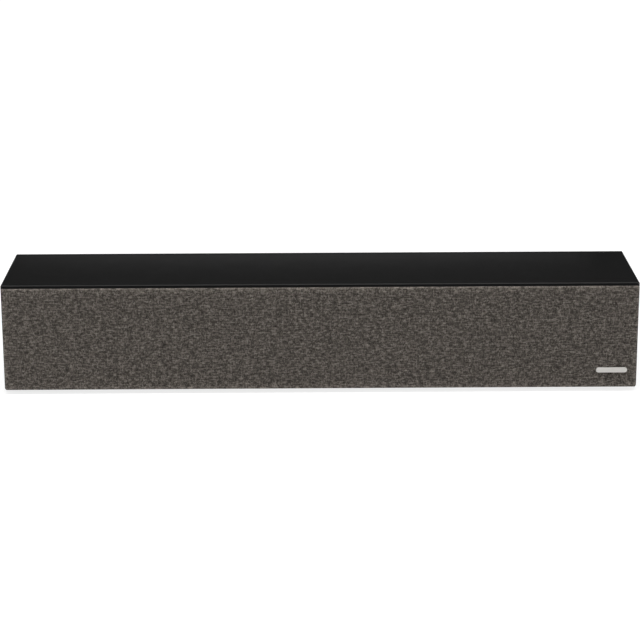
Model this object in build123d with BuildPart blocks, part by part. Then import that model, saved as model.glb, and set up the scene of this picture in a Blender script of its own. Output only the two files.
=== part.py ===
from build123d import *
import os
from math import radians, tan

# Slim centre channel loudspeaker: a folded cabinet with a cloth grille held by magnets,
# a tweeter between two small woofers, a crossover, two slot ports and a terminal cup.
# X runs along the cabinet, Y from the grille to the back, Z up. The origin lies under the
# middle of the whole object, on the plane that the feet stand on. Millimetres.

# Cabinet
cabinet_width = 612.0
cabinet_height = 104.0
cabinet_depth = 122.0
board = 12.0
edge_bevel = 0.8
rear_inset = 3.0
foot_side = 14.0
foot_height = 2.5
foot_draft = 12.0
foot_from_end = 26.0
foot_from_face = 20.0
divider_x = 70.0
divider_window_depth = 56.0
divider_window_height = 44.0

# Grille
grille_depth = 8.0
grille_reveal = 1.5
grille_corner = 1.4
cloth = 0.7
cloth_return = 1.6
cloth_edge = 0.6
frame_border = 11.0
frame_rib = 14.0
outer_rib_x = 210.0
magnet_length = 12.0
magnet_height = 6.0
magnet_depth = 3.0
magnet_row = 24.0
badge_length = 30.0
badge_height = 5.0
badge_depth = 1.0
badge_from_side = 24.0
badge_from_bottom = 17.5

# Woofers
woofer_x = 140.0
flange_gap = 1.0
flange_sheet = 1.2
flange_lap = 4.0
flange_land = 7.0
basket_depth = 20.0
spoke_width = 9.0
spoke_sheet = 1.4
spoke_root = 20.0
spoke_inset = 0.6
surround_land = 3.0
surround_width = 10.9
roll_height = 2.6
cone_lap = 1.2
cone_sheet = 0.8
cone_depth = 11.0
glue_line = 0.1
coil_radius = 10.3
coil_wall = 0.5
coil_length = 13.5
cap_radius = 11.6
cap_crown = 6.4
cap_height = 3.2
spider_depth = 14.6
spider_radius = 20.6
spider_sheet = 0.8
pole_radius = 9.3
gap_radius = 10.9
plate_radius = 25.0
plate_thickness = 4.0
magnet_ring_outer = 27.0
magnet_ring_inner = 13.5
magnet_ring_depth = 10.0

# Tweeter
tweeter_side = 62.0
tweeter_sheet = 3.0
tweeter_cutout = 24.5
throat_radius = 17.0
dome_radius = 12.7
dome_crown = 7.0
dome_height = 3.6
dome_sheet = 0.6
dome_frame_side = 40.0
tweeter_motor_radius = 22.0
tweeter_motor_depth = 17.0
motor_flat_count = 16

# Rear
port_from_wall = 44.0
port_width = 52.0
port_height = 15.0
port_wall = 2.0
port_flare = 10.0
port_flare_angle = 20.0
port_flange = 6.0
port_length = 70.0
hanger_from_port = 46.8
hanger_width = 22.0
hanger_height = 44.0
hanger_sheet = 1.5
hanger_head = 5.0
hanger_slot = 2.6
hanger_travel = 12.0
hanger_pocket = 7.5
hanger_clearance = 1.0
cup_width = 76.0
cup_height = 48.0
cup_depth = 26.0
cup_wall = 2.5
cup_draft = 6.0
cup_flange_width = 94.0
cup_flange_height = 66.0
cup_clearance = 0.5
post_spacing = 19.05
post_radius = 3.0
post_collar = 6.0
post_collar_depth = 3.0
post_length = 19.5
post_tail = 2.0
socket_radius = 2.0
socket_depth = 15.0
nut_across = 10.0
nut_depth = 4.0
thread_clearance = 0.08
washer_depth = 1.2
knob_radius = 7.0
knob_length = 19.0
knob_flat_count = 12
knob_chamfer = 0.8

# Crossover and damping
crossover_x = -140.0
crossover_y = 18.0
crossover_width = 84.0
crossover_depth = 52.0
crossover_sheet = 1.6
inductor_side = 26.0
inductor_height = 18.0
inductor_gap = 4.0
capacitor_length = 26.0
capacitor_width = 10.0
capacitor_height = 19.0
pad_width = 90.0
pad_depth = 46.0
pad_height = 16.0

overall_depth = cabinet_depth + grille_depth + badge_depth
back = overall_depth / 2
front = back - cabinet_depth
cloth_face = front - grille_depth
panel_face = back - rear_inset
panel_inside = panel_face - board
middle = foot_height + cabinet_height / 2
cup_outer_width = cup_width + 2 * (cup_wall + cup_clearance)
cup_outer_height = cup_height + 2 * (cup_wall + cup_clearance)
port_mouth_width = port_width + 2 * port_flare * tan(radians(port_flare_angle))
port_mouth_height = port_height + 2 * port_flare * tan(radians(port_flare_angle))
inner_width = cabinet_width - 2 * board
inner_height = cabinet_height - 2 * board
grille_width = cabinet_width - 2 * grille_reveal
grille_height = cabinet_height - 2 * grille_reveal
window_height = grille_height - 2 * frame_border
rib_spots = (-outer_rib_x, -divider_x, divider_x, outer_rib_x)
magnet_spots = [(x, z) for x in rib_spots for z in (-magnet_row, magnet_row)]

# The woofers' flange fills the height of the grille's windows. The rest follows inwards from it.
woofer_spots = [(-woofer_x, 0, 0), (woofer_x, 0, 0)]
flange_side = window_height - 2 * flange_gap
basket_cutout = flange_side / 2 - flange_lap
flange_bore = flange_side / 2 - flange_land
surround_outer = flange_bore + surround_land
surround_inner = surround_outer - surround_width
cone_radius = surround_inner + cone_lap
cone_neck = coil_radius + glue_line

# Ports and hangers keep their distance from the ends. The hangers are as far apart as wall studs.
port_x = inner_width / 2 - port_from_wall
hanger_x = port_x - hanger_from_port
hanger_space = hanger_head + hanger_clearance

# Half section of anything round that faces the listener: radius along X, depth along Y.
section = Plane.XY.offset(middle)
round_axis = Axis((0, 0, middle), (0, 1, 0))


def facing(y):
    # Upright plane at depth y, seen from the listener. Positive amounts come towards the listener.
    return Plane(origin=(0, y, middle), x_dir=(1, 0, 0), z_dir=(0, -1, 0))


def seat(d):
    # Depth behind the front of the woofers' flange.
    return front - flange_sheet + d


def octagon(side):
    # Plate with eight edges, lying flat at top and bottom. Its width is given across the flats.
    RegularPolygon(side / 2, 8, major_radius=False, rotation=22.5)


def band(inner, outer, y_front, y_back):
    with Locations(((inner + outer) / 2, (y_front + y_back) / 2)):
        Rectangle(outer - inner, y_back - y_front)


# Sleeve: top, bottom and sides are one board, grooved and folded round the panels.
with BuildPart() as cabinet_wrap:
    with BuildSketch(facing(back)):
        Rectangle(cabinet_width, cabinet_height)
    extrude(amount=cabinet_depth)
    chamfer(cabinet_wrap.edges(), edge_bevel)
    with BuildSketch(facing(back)):
        Rectangle(inner_width, inner_height)
    extrude(amount=cabinet_depth, mode=Mode.SUBTRACT)

# Baffle, flush with the front of the sleeve, with the drivers' cut-outs and the magnets' pockets.
with BuildPart() as front_baffle:
    with BuildSketch(facing(front + board)):
        Rectangle(inner_width, inner_height)
        with Locations(*woofer_spots):
            Circle(basket_cutout, mode=Mode.SUBTRACT)
        Circle(tweeter_cutout, mode=Mode.SUBTRACT)
    extrude(amount=board)
    with BuildSketch(facing(front)):
        with Locations(*magnet_spots):
            Rectangle(magnet_length, magnet_height)
    extrude(amount=-magnet_depth, mode=Mode.SUBTRACT)

# Rear panel, set in from the edge, with the holes of cup, ports and hangers.
with BuildPart() as rear_panel:
    with BuildSketch(facing(panel_face)):
        Rectangle(inner_width, inner_height)
        Rectangle(cup_outer_width, cup_outer_height, mode=Mode.SUBTRACT)
        with Locations((-port_x, 0), (port_x, 0)):
            Rectangle(port_mouth_width + 2 * port_wall, port_mouth_height + 2 * port_wall, mode=Mode.SUBTRACT)
    extrude(amount=board)
    with BuildSketch(facing(panel_face)):
        with Locations((-hanger_x, 0), (hanger_x, 0)):
            Rectangle(hanger_width, hanger_height)
    extrude(amount=hanger_sheet, mode=Mode.SUBTRACT)
    with BuildSketch(facing(panel_face - hanger_sheet)):
        with Locations((-hanger_x, 0), (hanger_x, 0)):
            Rectangle(2 * hanger_space, hanger_travel + 2 * hanger_space)
    extrude(amount=hanger_pocket, mode=Mode.SUBTRACT)

# Dividers between tweeter and woofers stiffen the long walls. Air passes through their windows.
with BuildPart() as dividers:
    for side in (-1, 1):
        with BuildSketch(Plane.YZ.offset(side * divider_x)):
            with Locations(((front + board + panel_inside) / 2, middle)):
                Rectangle(panel_inside - front - board, inner_height)
                Rectangle(divider_window_depth, divider_window_height, mode=Mode.SUBTRACT)
        extrude(amount=board / 2, both=True)

# Tapered rubber feet.
with BuildPart() as feet:
    foot_spread = cabinet_width - 2 * foot_from_end
    foot_run = cabinet_depth - 2 * foot_from_face
    with BuildSketch(Plane.XY.offset(foot_height)):
        with Locations((0, (front + back) / 2)):
            with GridLocations(foot_spread, foot_run, 2, 2):
                Rectangle(foot_side, foot_side)
    extrude(amount=-foot_height, taper=foot_draft)

# Grille frame: a moulded lattice with a step round its face where the cloth is drawn over.
with BuildPart() as grille_frame:
    with BuildSketch(facing(front)):
        RectangleRounded(grille_width, grille_height, grille_corner)
    extrude(amount=grille_depth - cloth_return)
    with BuildSketch(facing(cloth_face + cloth_return)):
        RectangleRounded(grille_width - 2 * cloth, grille_height - 2 * cloth, grille_corner - cloth)
    extrude(amount=cloth_return - cloth)
    window_edges = [
        (-divider_x + frame_rib / 2, divider_x - frame_rib / 2),
        (divider_x + frame_rib / 2, outer_rib_x - frame_rib / 2),
        (outer_rib_x + frame_rib / 2, grille_width / 2 - frame_border),
    ]
    mirrored_edges = [(-high, -low) for low, high in window_edges[1:]]
    with BuildSketch(facing(front)):
        for low, high in window_edges + mirrored_edges:
            with Locations(((low + high) / 2, 0)):
                Rectangle(high - low, window_height)
    extrude(amount=grille_depth, mode=Mode.SUBTRACT)
    with BuildSketch(facing(front)):
        with Locations(*magnet_spots):
            Rectangle(magnet_length, magnet_height)
    extrude(amount=magnet_depth, mode=Mode.SUBTRACT)

# Cloth, drawn over the frame's face and round its edge.
with BuildPart() as grille_cloth:
    with BuildSketch(facing(cloth_face)):
        RectangleRounded(grille_width, grille_height, grille_corner)
    extrude(amount=-cloth_return)
    chamfer(grille_cloth.faces().sort_by(Axis.Y)[0].edges(), cloth_edge)
    with BuildSketch(facing(cloth_face + cloth)):
        RectangleRounded(grille_width - 2 * cloth, grille_height - 2 * cloth, grille_corner - cloth)
    extrude(amount=-cloth_return, mode=Mode.SUBTRACT)

with BuildPart() as grille_magnets:
    with BuildSketch(facing(front)):
        with Locations(*magnet_spots):
            Rectangle(magnet_length, magnet_height)
    extrude(amount=magnet_depth)

with BuildPart() as baffle_magnets:
    with BuildSketch(facing(front)):
        with Locations(*magnet_spots):
            Rectangle(magnet_length, magnet_height)
    extrude(amount=-magnet_depth)

# Plain bar at the lower right of the cloth.
with BuildPart() as badge_bar:
    with BuildSketch(facing(cloth_face)):
        with Locations((grille_width / 2 - badge_from_side, badge_from_bottom - grille_height / 2)):
            SlotOverall(badge_length, badge_height)
    extrude(amount=badge_depth)

# Basket: a truncated flange and four slanting spokes, riveted to the thick top plate of the motor.
plate_front = seat(basket_depth)
plate_back = seat(basket_depth + plate_thickness)
spoke_top = flange_bore + spoke_inset
with BuildPart() as basket:
    with BuildSketch(facing(seat(flange_sheet))):
        octagon(flange_side)
        Circle(flange_bore, mode=Mode.SUBTRACT)
    extrude(amount=flange_sheet)
    with BuildSketch(facing(plate_back)):
        octagon(2 * plate_radius)
        Circle(gap_radius, mode=Mode.SUBTRACT)
    extrude(amount=plate_thickness)
    for angle in (45, 135, 225, 315):
        with BuildSketch(section.rotated((0, angle, 0))):
            with BuildLine():
                Polyline(
                    (spoke_top, seat(flange_sheet)),
                    (spoke_root, plate_front),
                    (spoke_root + spoke_sheet, plate_front),
                    (spoke_top + spoke_sheet, seat(flange_sheet)),
                    close=True,
                )
            make_face()
        extrude(amount=spoke_width / 2, both=True)

# Roll of rubber between the flange and the rim of the cone.
with BuildPart() as surround:
    with BuildSketch(section):
        band(surround_inner, surround_outer, seat(-roll_height), seat(0))
    revolve(axis=round_axis)

with BuildPart() as cone:
    with BuildSketch(section):
        with BuildLine():
            Polyline(
                (cone_radius, seat(0)),
                (cone_neck, seat(cone_depth - cone_sheet)),
                (cone_neck, seat(cone_depth)),
                close=True,
            )
        make_face()
    revolve(axis=round_axis)

# Dust cap: its rim lies on the cone, and it closes the coil.
cap_slope = (cone_depth - cone_sheet) / (cone_radius - cone_neck)
cap_seat = (cone_radius - cap_radius) * cap_slope
with BuildPart() as dust_cap:
    with BuildSketch(section):
        with BuildLine():
            Polyline(
                (0, seat(cap_seat)),
                (cap_radius, seat(cap_seat)),
                (cap_crown, seat(cap_seat - cap_height)),
                (0, seat(cap_seat - cap_height)),
                close=True,
            )
        make_face()
    revolve(axis=round_axis)

coil_top = seat(cone_depth - cone_sheet)
with BuildPart() as voice_coil:
    with BuildSketch(section):
        band(coil_radius - coil_wall, coil_radius, coil_top, coil_top + coil_length)
    revolve(axis=round_axis)

with BuildPart() as spider:
    with BuildSketch(section):
        band(cone_neck, spider_radius, seat(spider_depth), seat(spider_depth + spider_sheet))
    revolve(axis=round_axis)

magnet_front = basket_depth + plate_thickness
magnet_back = magnet_front + magnet_ring_depth
with BuildPart() as ring_magnet:
    with BuildSketch(section):
        band(magnet_ring_inner, magnet_ring_outer, seat(magnet_front), seat(magnet_back))
    revolve(axis=round_axis)

# Yoke: back plate and pole are one turned piece.
with BuildPart() as yoke:
    with BuildSketch(section):
        band(0, plate_radius, seat(magnet_back), seat(magnet_back + plate_thickness))
        band(0, pole_radius, seat(basket_depth), seat(magnet_back))
    revolve(axis=round_axis)


def at_each_woofer(piece):
    with BuildPart() as row:
        with Locations(*woofer_spots):
            add(piece.part)
    return row


# Tweeter: faceplate with a round throat, a soft dome on its frame behind it, and a closed motor.
with BuildPart() as tweeter_faceplate:
    with BuildSketch(facing(front)):
        octagon(tweeter_side)
        Circle(throat_radius, mode=Mode.SUBTRACT)
    extrude(amount=tweeter_sheet)

with BuildPart() as tweeter_dome:
    with BuildSketch(section):
        with BuildLine():
            Polyline(
                (0, front - dome_height),
                (0, front),
                (dome_radius, front),
                (dome_crown, front - dome_height),
                close=True,
            )
        make_face()
    revolve(axis=round_axis)
    with BuildSketch(facing(front + dome_sheet)):
        octagon(dome_frame_side)
    extrude(amount=dome_sheet)

with BuildPart() as tweeter_motor:
    with BuildSketch(facing(front + dome_sheet)):
        RegularPolygon(tweeter_motor_radius, motor_flat_count)
    extrude(amount=-tweeter_motor_depth)

# Slot ports: duct, flared mouth and flange in one moulding.
with BuildPart() as slot_ports:
    for side in (-1, 1):
        with BuildSketch(facing(back)):
            with Locations((side * port_x, 0)):
                Rectangle(port_mouth_width + 2 * port_flange, port_mouth_height + 2 * port_flange)
        extrude(amount=rear_inset)
        with BuildSketch(facing(back)):
            with Locations((side * port_x, 0)):
                Rectangle(port_mouth_width + 2 * port_wall, port_mouth_height + 2 * port_wall)
        extrude(amount=port_flare, taper=port_flare_angle)
        with BuildSketch(facing(back)):
            with Locations((side * port_x, 0)):
                Rectangle(port_width + 2 * port_wall, port_height + 2 * port_wall)
        extrude(amount=port_length)
        with BuildSketch(facing(back)):
            with Locations((side * port_x, 0)):
                Rectangle(port_mouth_width, port_mouth_height)
        extrude(amount=port_flare, taper=port_flare_angle, mode=Mode.SUBTRACT)
        with BuildSketch(facing(back)):
            with Locations((side * port_x, 0)):
                Rectangle(port_width, port_height)
        extrude(amount=port_length, mode=Mode.SUBTRACT)

# Keyhole hangers, let in flush. The screw's head goes in below and slides up the slot.
with BuildPart() as keyhole_plates:
    with BuildSketch(facing(panel_face - hanger_sheet)):
        for side in (-1, 1):
            with Locations((side * hanger_x, 0)):
                Rectangle(hanger_width, hanger_height)
                Rectangle(2 * hanger_slot, hanger_travel, mode=Mode.SUBTRACT)
            with Locations((side * hanger_x, -hanger_travel / 2)):
                Circle(hanger_head, mode=Mode.SUBTRACT)
            with Locations((side * hanger_x, hanger_travel / 2)):
                Circle(hanger_slot, mode=Mode.SUBTRACT)
    extrude(amount=-hanger_sheet)

# Terminal cup: a drafted tray with a flange, and holes for the two posts in its floor.
cup_floor = back - cup_depth


def drafted_tray(width, height, depth):
    with BuildPart() as tray:
        with BuildSketch(facing(back)):
            Rectangle(width, height)
        extrude(amount=depth)
        draft(tray.faces().filter_by(Axis.Y, reverse=True), facing(back), cup_draft)
    return tray.part


cup_skin = drafted_tray(cup_width + 2 * cup_wall, cup_height + 2 * cup_wall, cup_depth + cup_wall)
cup_hollow = drafted_tray(cup_width, cup_height, cup_depth)
with BuildPart() as terminal_cup:
    with BuildSketch(facing(back)):
        Rectangle(cup_flange_width, cup_flange_height)
    extrude(amount=rear_inset)
    add(cup_skin)
    add(cup_hollow, mode=Mode.SUBTRACT)
    with BuildSketch(facing(cup_floor)):
        with GridLocations(post_spacing, 0, 2, 1):
            Circle(post_radius + thread_clearance)
    extrude(amount=cup_wall, mode=Mode.SUBTRACT)

# Binding posts: a threaded post with a collar, drilled at its end for a banana plug.
post_end = cup_floor + post_collar_depth + post_length
post_root = cup_floor - cup_wall - nut_depth - post_tail
with BuildPart() as binding_posts:
    with BuildSketch(facing(post_root)):
        with GridLocations(post_spacing, 0, 2, 1):
            Circle(post_radius)
    extrude(amount=post_root - post_end)
    with BuildSketch(facing(cup_floor)):
        with GridLocations(post_spacing, 0, 2, 1):
            RegularPolygon(post_collar, 6)
    extrude(amount=-post_collar_depth)
    with BuildSketch(facing(post_end)):
        with GridLocations(post_spacing, 0, 2, 1):
            Circle(socket_radius)
    extrude(amount=socket_depth, mode=Mode.SUBTRACT)

with BuildPart() as post_nuts:
    with BuildSketch(facing(cup_floor - cup_wall)):
        with GridLocations(post_spacing, 0, 2, 1):
            RegularPolygon(nut_across / 2, 6, major_radius=False)
            Circle(post_radius + thread_clearance, mode=Mode.SUBTRACT)
    extrude(amount=nut_depth)

washer_face = cup_floor + post_collar_depth
knob_root = washer_face + washer_depth


def clamp_washer(x):
    with BuildPart() as washer:
        with BuildSketch(facing(washer_face)):
            with Locations((x, 0)):
                RegularPolygon(post_collar, 8)
                Circle(post_radius + thread_clearance, mode=Mode.SUBTRACT)
        extrude(amount=-washer_depth)
    return washer


def knob(x):
    with BuildPart() as cap:
        with BuildSketch(facing(knob_root)):
            with Locations((x, 0)):
                RegularPolygon(knob_radius, knob_flat_count)
        extrude(amount=-knob_length)
        chamfer(cap.faces().sort_by(Axis.Y)[-1].edges(), knob_chamfer)
        with BuildSketch(facing(knob_root)):
            with Locations((x, 0)):
                Circle(post_radius + thread_clearance)
        extrude(amount=-knob_length, mode=Mode.SUBTRACT)
    return cap


# Crossover board on the cabinet's floor, with its parts.
floor_z = foot_height + board
parts_z = floor_z + crossover_sheet
with BuildPart() as crossover_board:
    with BuildSketch(Plane.XY.offset(floor_z)):
        with Locations((crossover_x, crossover_y)):
            Rectangle(crossover_width, crossover_depth)
    extrude(amount=crossover_sheet)

with BuildPart() as crossover_inductors:
    with BuildSketch(Plane.XY.offset(parts_z)):
        with Locations((crossover_x - crossover_width / 4 - inductor_gap, crossover_y)):
            with GridLocations(0, crossover_depth / 2, 1, 2):
                Rectangle(inductor_side, crossover_depth / 2 - inductor_gap)
    extrude(amount=inductor_height)

with BuildPart() as crossover_capacitors:
    with BuildSketch(Plane.XY.offset(parts_z)):
        with Locations((crossover_x + crossover_width / 4, crossover_y)):
            with GridLocations(0, crossover_depth / 3, 1, 3):
                Rectangle(capacitor_length, capacitor_width)
    extrude(amount=capacitor_height)

# Wadding under the cabinet's top, behind the woofers.
with BuildPart() as damping_pads:
    with BuildSketch(Plane.XY.offset(foot_height + cabinet_height - board)):
        with Locations((-woofer_x, crossover_y), (woofer_x, crossover_y)):
            Rectangle(pad_width, pad_depth)
    extrude(amount=-pad_height)

pieces = {
    "cabinet_wrap": cabinet_wrap,
    "front_baffle": front_baffle,
    "rear_panel": rear_panel,
    "dividers": dividers,
    "feet": feet,
    "damping_pads": damping_pads,
    "grille_frame": grille_frame,
    "grille_cloth": grille_cloth,
    "grille_magnets": grille_magnets,
    "baffle_magnets": baffle_magnets,
    "badge_bar": badge_bar,
    "woofer_baskets": at_each_woofer(basket),
    "woofer_surrounds": at_each_woofer(surround),
    "woofer_cones": at_each_woofer(cone),
    "woofer_dust_caps": at_each_woofer(dust_cap),
    "woofer_voice_coils": at_each_woofer(voice_coil),
    "woofer_spiders": at_each_woofer(spider),
    "woofer_magnets": at_each_woofer(ring_magnet),
    "woofer_yokes": at_each_woofer(yoke),
    "tweeter_faceplate": tweeter_faceplate,
    "tweeter_dome": tweeter_dome,
    "tweeter_motor": tweeter_motor,
    "slot_ports": slot_ports,
    "keyhole_plates": keyhole_plates,
    "terminal_cup": terminal_cup,
    "binding_posts": binding_posts,
    "post_nuts": post_nuts,
    "positive_washer": clamp_washer(post_spacing / 2),
    "negative_washer": clamp_washer(-post_spacing / 2),
    "positive_knob": knob(post_spacing / 2),
    "negative_knob": knob(-post_spacing / 2),
    "crossover_board": crossover_board,
    "crossover_inductors": crossover_inductors,
    "crossover_capacitors": crossover_capacitors,
}

os.makedirs("parts", exist_ok=True)
for name, piece in pieces.items():
    piece.part.label = name
    export_step(piece.part, f"parts/{name}.step")
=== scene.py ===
# %% [markdown]
# # A slim center channel speaker, dressed in Blender
# The solids of the speaker come in as a fixed frame: their sizes and places are right and stay as they
# are. This lesson gives each of them its finish, and models again the pieces whose look depends on soft
# edges: the grille cloth, the mouldings at the back, the moving parts of the drivers and the small
# screws.

# %% Load the frame
from math import cos, pi, radians, sin, sqrt

import bmesh
import bpy
from mathutils import Matrix, Vector


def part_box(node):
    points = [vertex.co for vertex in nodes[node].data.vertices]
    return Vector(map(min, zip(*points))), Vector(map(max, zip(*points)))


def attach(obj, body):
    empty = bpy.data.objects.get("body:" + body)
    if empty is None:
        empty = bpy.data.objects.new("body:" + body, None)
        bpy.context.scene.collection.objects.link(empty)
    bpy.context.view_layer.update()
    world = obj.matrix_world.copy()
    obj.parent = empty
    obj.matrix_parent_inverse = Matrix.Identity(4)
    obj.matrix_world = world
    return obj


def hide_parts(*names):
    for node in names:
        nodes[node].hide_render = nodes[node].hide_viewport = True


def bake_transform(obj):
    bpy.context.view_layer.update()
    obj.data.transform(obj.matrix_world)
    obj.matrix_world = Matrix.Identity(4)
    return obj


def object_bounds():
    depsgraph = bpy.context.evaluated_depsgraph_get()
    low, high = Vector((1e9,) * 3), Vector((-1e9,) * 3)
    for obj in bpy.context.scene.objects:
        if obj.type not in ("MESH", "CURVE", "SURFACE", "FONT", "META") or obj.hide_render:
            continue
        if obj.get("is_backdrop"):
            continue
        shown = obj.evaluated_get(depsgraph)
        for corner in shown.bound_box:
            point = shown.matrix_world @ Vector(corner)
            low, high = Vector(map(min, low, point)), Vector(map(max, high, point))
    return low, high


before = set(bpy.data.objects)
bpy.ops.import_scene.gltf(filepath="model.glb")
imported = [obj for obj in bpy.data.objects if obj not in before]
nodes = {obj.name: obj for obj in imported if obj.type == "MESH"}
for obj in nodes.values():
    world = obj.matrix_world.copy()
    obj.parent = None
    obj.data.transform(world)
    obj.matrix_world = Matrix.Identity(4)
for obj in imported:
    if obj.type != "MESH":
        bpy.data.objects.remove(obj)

MM = 0.001
cad_low, cad_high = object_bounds()
print("frame:", len(nodes), "nodes, size", [round(v, 4) for v in cad_high - cad_low])

# %% [markdown]
# ## The camera
# The picture was taken from a little above, almost square on, with a long lens. A camera can be placed by
# eye, or worked out from the corners of the cabinet. The second way was chosen: a box of known size has
# only one camera that puts its eight corners where the picture has them.

# %% Camera at the photograph's place
picture_pixels = 640
sensor_width = 36.0
focal_pixels = 2187.3
camera_place = Vector((-10.3, -2075.7, 654.4)) * MM
camera_pitch = 0.28137
camera_yaw = -0.00492
camera_roll = 0.00413

bpy.ops.object.select_all(action="DESELECT")
bpy.ops.object.camera_add()
camera = bpy.context.object
camera.data.sensor_width = sensor_width
camera.data.lens = focal_pixels * sensor_width / picture_pixels
camera.data.clip_end = 50
aim = Matrix.Rotation(camera_yaw, 4, "Z") @ Matrix.Rotation(pi / 2 - camera_pitch, 4, "X")
camera.matrix_world = Matrix.Translation(camera_place) @ aim @ Matrix.Rotation(-camera_roll, 4, "Z")
bpy.context.scene.camera = camera
bpy.context.scene.view_settings.view_transform = "Standard"
print("camera: lens", round(camera.data.lens, 1), "mm")

# %% [markdown]
# ## Helpers for nodes
# Floor, sky and every finish are trees of nodes. They could be wired one call at a time, which takes many
# lines. These helpers add a node with its sockets filled or linked, so that a tree reads like a sum.

# %% Node helpers
def node(tree, kind, inputs=None, **settings):
    """Adds a node. A socket among the inputs is linked, and a plain value is set."""
    made = tree.nodes.new(kind)
    for key, value in settings.items():
        setattr(made, key, value)
    for key, value in (inputs or {}).items():
        if isinstance(value, bpy.types.NodeSocket):
            tree.links.new(value, made.inputs[key])
        else:
            made.inputs[key].default_value = value
    return made


def maths(tree, operation, first, second=0.0, third=0.0):
    return node(tree, "ShaderNodeMath", {0: first, 1: second, 2: third}, operation=operation).outputs[0]


def vectors(tree, operation, first, second=(0, 0, 0)):
    return node(tree, "ShaderNodeVectorMath", {0: first, 1: second}, operation=operation).outputs


def spread(tree, value, low, high, start=0.0, end=1.0):
    """Carries the range from start to end over to the range from low to high."""
    ranges = {"From Min": start, "From Max": end, "To Min": low, "To Max": high}
    return node(tree, "ShaderNodeMapRange", {"Value": value, **ranges}).outputs[0]


def place_on(tree):
    return node(tree, "ShaderNodeTexCoord").outputs["Object"]


def seen_directly(tree, mirrored=False):
    """1 for rays straight from the camera or through glass and, if asked, by way of a glossy face."""
    path = node(tree, "ShaderNodeLightPath").outputs
    seen = maths(tree, "MAXIMUM", path["Is Camera Ray"], path["Is Transmission Ray"])
    return maths(tree, "MAXIMUM", seen, path["Is Glossy Ray"]) if mirrored else seen


print("node helpers ready")

# %% [markdown]
# ## Floor
# A product picture on white has a pale floor that runs out of sight. A plain white background would do,
# but no shadow could fall on it, so there is a real floor of white card. For rays that go to the camera,
# straight or by way of a glossy face, it also glows, so that it reads as white. The rest of its
# brightness is reflected light, so that the speaker's shadow stays on it. Near the speaker the glow is
# weaker, and farther off, where the lamps don't reach, it is full.

# %% White floor
floor_size = 14.0
floor_drop = 0.1 * MM
card_white = 0.78
seen_white = 0.3
card_glow = (0.80, 1.0)
glow_reach = (0.35, 1.4)

bpy.ops.mesh.primitive_plane_add(size=floor_size, location=(0, 0, -floor_drop))
floor = bpy.context.object
floor.name = "floor"
card = bpy.data.materials.new("white_card")
card.use_nodes = True
card_tree = card.node_tree
card_tree.nodes.clear()
lit = node(card_tree, "ShaderNodeBsdfDiffuse", {"Color": (card_white, card_white, card_white, 1)})
faint = node(card_tree, "ShaderNodeBsdfDiffuse", {"Color": (seen_white, seen_white, seen_white, 1)})
away = vectors(card_tree, "LENGTH", place_on(card_tree))["Value"]
glow = node(card_tree, "ShaderNodeEmission", {"Strength": spread(card_tree, away, *card_glow, *glow_reach)})
shown = node(card_tree, "ShaderNodeAddShader", {0: faint.outputs[0], 1: glow.outputs[0]})
either = {0: seen_directly(card_tree, mirrored=True), 1: lit.outputs[0], 2: shown.outputs[0]}
card_face = node(card_tree, "ShaderNodeMixShader", either)
node(card_tree, "ShaderNodeOutputMaterial", {"Surface": card_face.outputs[0]})
floor.data.materials.append(card)
floor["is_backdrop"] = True
print("floor:", floor_size, "m wide")

# %% [markdown]
# ## Sky
# Behind the speaker the sky is white too. It could also light the scene, but light from all sides leaves
# little form, so as a light it is almost off and lamps do that work. In reflections it is dim, as a studio
# is: a white sky would lie on the black top as a grey veil.

# %% White sky
dim_sky = 0.03
white_sky = 1.0
world = bpy.data.worlds.new("studio")
bpy.context.scene.world = world
world.use_nodes = True
sky_tree = world.node_tree
sky_tree.nodes.clear()
dim = node(sky_tree, "ShaderNodeBackground", {"Strength": dim_sky, "Color": (1, 1, 1, 1)})
white = node(sky_tree, "ShaderNodeBackground", {"Strength": white_sky, "Color": (1, 1, 1, 1)})
either_sky = {0: seen_directly(sky_tree), 1: dim.outputs[0], 2: white.outputs[0]}
sky = node(sky_tree, "ShaderNodeMixShader", either_sky)
node(sky_tree, "ShaderNodeOutputWorld", {"Surface": sky.outputs[0]})
print("sky:", white_sky, "seen directly,", dim_sky, "as light")

# %% [markdown]
# ## Lamps
# The light is soft and plain. One lamp would be enough for the front, but sides and back would stay
# black. There is a wide lamp overhead, slightly in front, a fill from the front and two from behind. A
# thin strip just behind the top's rear edge lays a soft glow on it that fades towards the front. It is an
# ellipse, so that the glow fades towards the ends as well.

# %% Lamps
def soft_lamp(name, place, target, width, depth, watts):
    bpy.ops.object.light_add(type="AREA", location=place)
    lamp = bpy.context.object
    lamp.name = name
    lamp.rotation_euler = (Vector(target) - Vector(place)).to_track_quat("-Z", "Y").to_euler()
    lamp.data.shape = "RECTANGLE"
    lamp.data.size = width
    lamp.data.size_y = depth
    lamp.data.energy = watts
    return lamp


speaker_middle = (0, 0, 0.05)
soft_lamp("overhead", (0.0, -0.55, 2.7), speaker_middle, width=3.0, depth=1.2, watts=84)
soft_lamp("front_fill", (-0.7, -2.6, 0.9), speaker_middle, width=1.8, depth=1.2, watts=12)
for side in (-1, 1):
    soft_lamp("rear_fill", (1.7 * side, 1.3, 0.45), speaker_middle, width=1.0, depth=0.6, watts=15)
strip_offset = Vector((-0.02, 0.010, 0.010))
strip_aim = Vector((0, -0.06, -0.008))
strip_place = Vector((0, cad_high.y, cad_high.z)) + strip_offset
strip_target = strip_place + strip_aim
strip = soft_lamp("rear_strip", strip_place, strip_target, width=0.60, depth=0.005, watts=0.0052)
strip.data.shape = "ELLIPSE"
strip.visible_camera = False

# %% [markdown]
# ## Finishes that share a grain
# Vinyl film, moulded plastic, rubber and paint all have a fine grain. It could be painted, or come from a
# noise pattern. A noise in a node group was chosen: it is built once, needs no image, and each material
# sets its own grain size. The group gives a height for the bump, a tone for small changes of colour, and
# patches for the roughness. Patterns read Object coordinates in metres, so a grain of 0.3 mm is 0.3 mm on
# every piece.

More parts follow.
